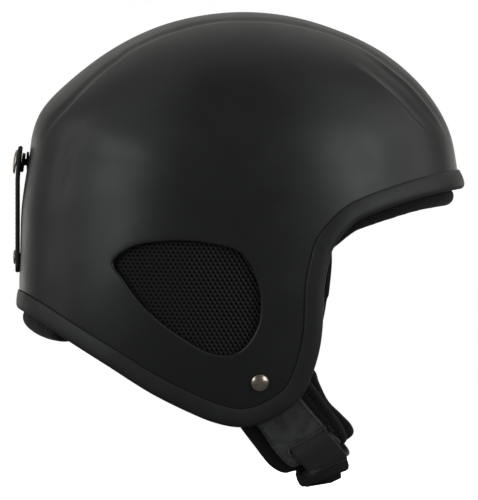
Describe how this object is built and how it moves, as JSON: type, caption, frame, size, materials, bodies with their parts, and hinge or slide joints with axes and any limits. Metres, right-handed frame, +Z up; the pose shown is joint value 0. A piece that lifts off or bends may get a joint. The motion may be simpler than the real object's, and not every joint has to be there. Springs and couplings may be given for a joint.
{
  "type": "ski helmet",
  "caption": "Open-face ski helmet with hard ears: moulded shell, foam liner, rubber edge trim, mesh ear openings, padded chin strap with a side-release buckle, snap goggle retainer.",
  "frame": {"origin": "where the crown of the head seats inside the liner, in the helmet's middle plane", "axes": "+X forwards out of the face opening, +Y to the wearer's left, +Z up"},
  "size_m": [0.2768, 0.2236, 0.2894],
  "materials": {
    "shell": "matte moulded ABS, satin sheen",
    "trim": "matt extruded rubber edge trim",
    "foam": "moulded expanded polystyrene, beads showing",
    "ear_mesh": "knitted spacer mesh, open diagonal ribs",
    "lining": "brushed polyester lining over foam",
    "neck_fabric": "brushed polyester over a foam roll",
    "strap_fabric": "woven polyester cover, bound border",
    "strap_patch": "grey microsuede facing, stitched slit",
    "webbing": "25 mm woven polyester webbing",
    "buckle": "injection-moulded acetal",
    "nickel": "warm black-nickel plate, slightly brushed",
    "retainer": "ribbed elastic strap with a vinyl face"
  },
  "bodies": {
    "helmet": {"outer_shell": "shell", "eps_liner": "foam", "edge_trim": "trim", "ear_mesh_right": "ear_mesh", "ear_mesh_left": "ear_mesh", "ear_pad_right": "lining", "ear_pad_left": "lining", "side_pad_right": "lining", "side_pad_left": "lining", "crown_pad": "lining", "rear_pad": "lining", "brow_pad": "lining", "neck_roll": "neck_fabric", "strap_rivet_right": "nickel", "strap_rivet_left": "nickel", "strap_washer_right": "nickel", "strap_washer_left": "nickel", "retainer_anchor": "retainer", "retainer_rivet": "nickel", "retainer_washer": "nickel", "snap_stud": "nickel", "snap_washer": "nickel"},
    "right_strap": {"strap_pad_right": "strap_fabric", "strap_patch_right": "strap_patch", "strap_webbing_right": "webbing", "buckle_female": "buckle"},
    "left_strap": {"strap_pad_left": "strap_fabric", "strap_patch_left": "strap_patch", "strap_webbing_left": "webbing"},
    "male_half": {"buckle_male": "buckle"},
    "front_prong": {"buckle_prong_front": "buckle"},
    "rear_prong": {"buckle_prong_rear": "buckle"},
    "retainer": {"retainer_strap": "retainer", "snap_cap": "nickel", "snap_socket": "nickel"}
  },
  "joints": [
    {"name": "right_strap_swing", "type": "hinge", "parent": "helmet", "child": "right_strap", "pos_m": [0.012, -0.092, -0.1945], "axis": [0, -1, 0], "range_deg": [-10, 15]},
    {"name": "left_strap_swing", "type": "hinge", "parent": "helmet", "child": "left_strap", "pos_m": [0.012, 0.092, -0.1945], "axis": [0, -1, 0], "range_deg": [-10, 15]},
    {"name": "buckle_slide", "type": "slide", "parent": "left_strap", "child": "male_half", "axis": [0, 1, 0], "range_m": [0, 0.022]},
    {"name": "front_prong_squeeze", "type": "hinge", "parent": "male_half", "child": "front_prong", "pos_m": [0.0607, -0.0304, -0.24498], "axis": [0.3584, 0, -0.9336], "range_deg": [0, 8], "stiffness_Nm_per_rad": 0.05},
    {"name": "rear_prong_squeeze", "type": "hinge", "parent": "male_half", "child": "rear_prong", "pos_m": [0.04016, -0.0304, -0.25286], "axis": [-0.3584, 0, 0.9336], "range_deg": [0, 8], "stiffness_Nm_per_rad": 0.05},
    {"name": "retainer_fold", "type": "hinge", "parent": "helmet", "child": "retainer", "pos_m": [-0.13565, 0, -0.108], "axis": [0, -1, 0], "range_deg": [0, 100]}
  ],
  "couplings": [
    {"joint": "left_strap_swing", "follows": "right_strap_swing", "ratio": 1}
  ]
}
